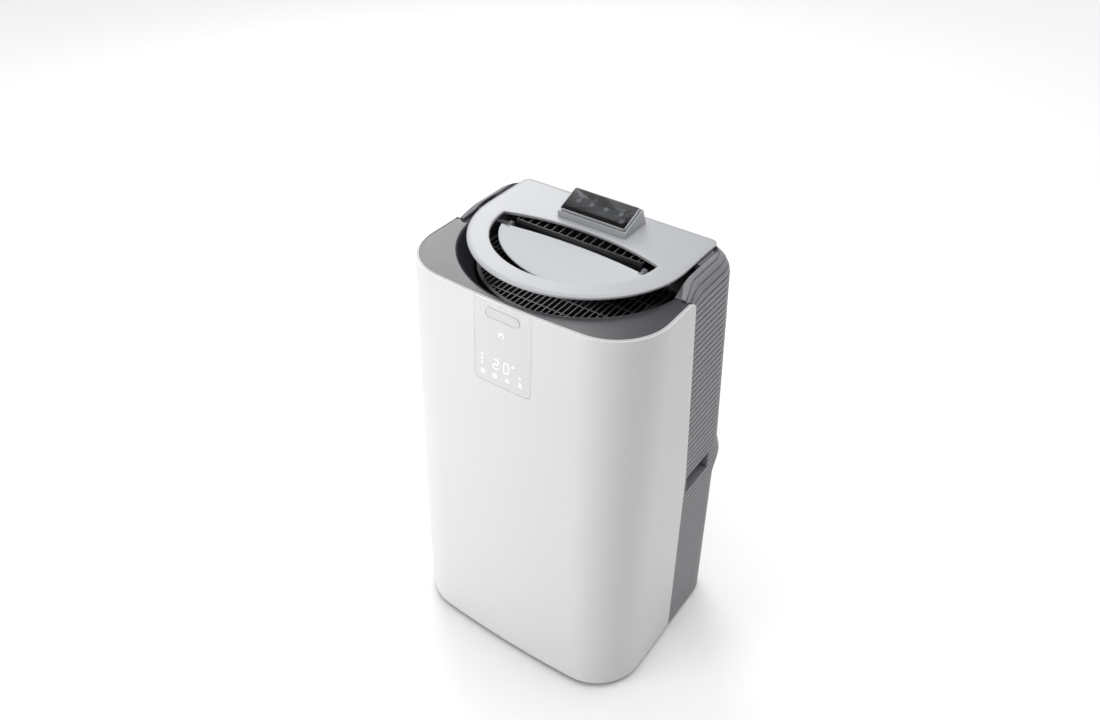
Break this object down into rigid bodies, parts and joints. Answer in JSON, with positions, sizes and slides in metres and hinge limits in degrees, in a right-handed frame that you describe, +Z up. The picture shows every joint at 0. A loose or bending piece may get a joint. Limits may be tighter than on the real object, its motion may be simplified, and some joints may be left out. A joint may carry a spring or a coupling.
{
  "type": "portable air conditioner",
  "caption": "Upright portable room air conditioner with a wrap-around front shell, ribbed back, top air outlet with tilting flap, docked remote and swivel castors.",
  "frame": {"origin": "floor point under the middle of the body", "axes": "+X to the right seen from the front, +Y to the back, +Z up"},
  "size_m": [0.448, 0.367, 0.7893],
  "materials": {
    "white_shell": "satin",
    "light_trim": "satin",
    "display": "smooth",
    "badge": "satin",
    "board": "matte",
    "dark_bezel": "fine grain",
    "black_plastic": "matte",
    "cover_white": "satin",
    "flap_gloss": "polished",
    "neck_grey": "satin",
    "ribbed_grey": "fine grain",
    "dark_plastic": "fine grain",
    "filter_mesh": "matte",
    "rubber": "matte",
    "remote_dark": "satin",
    "remote_keys": "matte",
    "steel": "brushed",
    "wheel_tread": "satin",
    "black_paint": "satin",
    "coil_fins": "brushed",
    "copper": "drawn",
    "tray_plastic": "matte",
    "box_steel": "zinc"
  },
  "bodies": {
    "housing": {"front_shell": "white_shell", "shell_trim": "light_trim", "display_panel": "display", "oval_badge": "badge", "display_board": "board", "top_bezel": "dark_bezel", "outlet_grille": "black_plastic", "slot_louvres": "black_plastic", "condenser_blower_case": "black_plastic", "evaporator_blower_case": "black_plastic", "cover_plate": "cover_white", "remote_dock": "cover_white", "cover_neck": "neck_grey", "rear_upper_shell": "ribbed_grey", "rear_lower_shell": "ribbed_grey", "grip_cups": "dark_plastic", "exhaust_collar": "dark_plastic", "drain_spout": "dark_plastic", "base_pan": "dark_plastic", "cord_gland": "rubber", "compressor_feet": "rubber", "shell_screws": "steel", "flap_motor": "steel", "condenser_blower_motor": "steel", "evaporator_blower_motor": "steel", "compressor": "black_paint", "accumulator": "black_paint", "condenser_coil": "coil_fins", "evaporator_coil": "coil_fins", "refrigerant_pipes": "copper", "partition_deck": "tray_plastic", "control_box": "box_steel"},
    "flap": {"airflow_flap": "flap_gloss"},
    "remote": {"remote_body": "cover_white", "remote_face": "remote_dark"},
    "battery_door": {"battery_door": "cover_white"},
    "key_power": {"remote_key_power": "remote_keys"},
    "key_mode": {"remote_key_mode": "remote_keys"},
    "key_down": {"remote_key_down": "remote_keys"},
    "key_up": {"remote_key_up": "remote_keys"},
    "upper_grille": {"upper_intake_grille": "ribbed_grey", "upper_filter_frame": "filter_mesh"},
    "lower_grille": {"lower_intake_grille": "ribbed_grey", "lower_filter_frame": "filter_mesh"},
    "drain_plug": {"drain_plug": "rubber"},
    "condenser_wheel": {"condenser_blower_wheel": "black_plastic"},
    "evaporator_wheel": {"evaporator_blower_wheel": "black_plastic"},
    "castor_1": {"castor_fork_1": "black_plastic", "castor_axle_1": "steel"},
    "wheel_1": {"castor_wheel_1": "wheel_tread"},
    "castor_2": {"castor_fork_2": "black_plastic", "castor_axle_2": "steel"},
    "wheel_2": {"castor_wheel_2": "wheel_tread"},
    "castor_3": {"castor_fork_3": "black_plastic", "castor_axle_3": "steel"},
    "wheel_3": {"castor_wheel_3": "wheel_tread"},
    "castor_4": {"castor_fork_4": "black_plastic", "castor_axle_4": "steel"},
    "wheel_4": {"castor_wheel_4": "wheel_tread"}
  },
  "joints": [
    {"name": "flap_hinge", "type": "hinge", "parent": "housing", "child": "flap", "pos_m": [0, 0.023, 0.742], "axis": [1, 0, 0], "range_deg": [-20, 4]},
    {"name": "remote_lift", "type": "slide", "parent": "housing", "child": "remote", "axis": [0, -0.3584, 0.9336], "range_m": [0, 0.05]},
    {"name": "key_power_press", "type": "slide", "parent": "remote", "child": "key_power", "axis": [0, 0.3584, -0.9336], "range_m": [0, 0.0007], "stiffness_N_per_m": 300, "springref_m": -0.0005},
    {"name": "key_mode_press", "type": "slide", "parent": "remote", "child": "key_mode", "axis": [0, 0.3584, -0.9336], "range_m": [0, 0.0007], "stiffness_N_per_m": 300, "springref_m": -0.0005},
    {"name": "key_down_press", "type": "slide", "parent": "remote", "child": "key_down", "axis": [0, 0.3584, -0.9336], "range_m": [0, 0.0007], "stiffness_N_per_m": 300, "springref_m": -0.0005},
    {"name": "key_up_press", "type": "slide", "parent": "remote", "child": "key_up", "axis": [0, 0.3584, -0.9336], "range_m": [0, 0.0007], "stiffness_N_per_m": 300, "springref_m": -0.0005},
    {"name": "battery_door_slide", "type": "slide", "parent": "remote", "child": "battery_door", "axis": [-1, 0, 0], "range_m": [0, 0.025]},
    {"name": "upper_grille_pull", "type": "slide", "parent": "housing", "child": "upper_grille", "axis": [0, 1, 0], "range_m": [0, 0.06]},
    {"name": "lower_grille_pull", "type": "slide", "parent": "housing", "child": "lower_grille", "axis": [0, 1, 0], "range_m": [0, 0.06]},
    {"name": "drain_plug_pull", "type": "slide", "parent": "housing", "child": "drain_plug", "axis": [0, 1, 0], "range_m": [0, 0.03]},
    {"name": "condenser_wheel_spin", "type": "hinge", "parent": "housing", "child": "condenser_wheel", "pos_m": [0, 0.02, 0.3], "axis": [1, 0, 0], "continuous": true},
    {"name": "evaporator_wheel_spin", "type": "hinge", "parent": "housing", "child": "evaporator_wheel", "pos_m": [0, -0.022, 0.54], "axis": [1, 0, 0], "continuous": true},
    {"name": "castor_1_swivel", "type": "hinge", "parent": "housing", "child": "castor_1", "pos_m": [-0.15, -0.11, 0.048], "axis": [0, 0, 1], "continuous": true},
    {"name": "wheel_1_roll", "type": "hinge", "parent": "castor_1", "child": "wheel_1", "pos_m": [-0.15, -0.099, 0.02], "axis": [1, 0, 0], "continuous": true},
    {"name": "castor_2_swivel", "type": "hinge", "parent": "housing", "child": "castor_2", "pos_m": [0.15, -0.11, 0.048], "axis": [0, 0, 1], "continuous": true},
    {"name": "wheel_2_roll", "type": "hinge", "parent": "castor_2", "child": "wheel_2", "pos_m": [0.15, -0.099, 0.02], "axis": [1, 0, 0], "continuous": true},
    {"name": "castor_3_swivel", "type": "hinge", "parent": "housing", "child": "castor_3", "pos_m": [-0.15, 0.112, 0.048], "axis": [0, 0, 1], "continuous": true},
    {"name": "wheel_3_roll", "type": "hinge", "parent": "castor_3", "child": "wheel_3", "pos_m": [-0.15, 0.123, 0.02], "axis": [1, 0, 0], "continuous": true},
    {"name": "castor_4_swivel", "type": "hinge", "parent": "housing", "child": "castor_4", "pos_m": [0.15, 0.112, 0.048], "axis": [0, 0, 1], "continuous": true},
    {"name": "wheel_4_roll", "type": "hinge", "parent": "castor_4", "child": "wheel_4", "pos_m": [0.15, 0.123, 0.02], "axis": [1, 0, 0], "continuous": true}
  ]
}
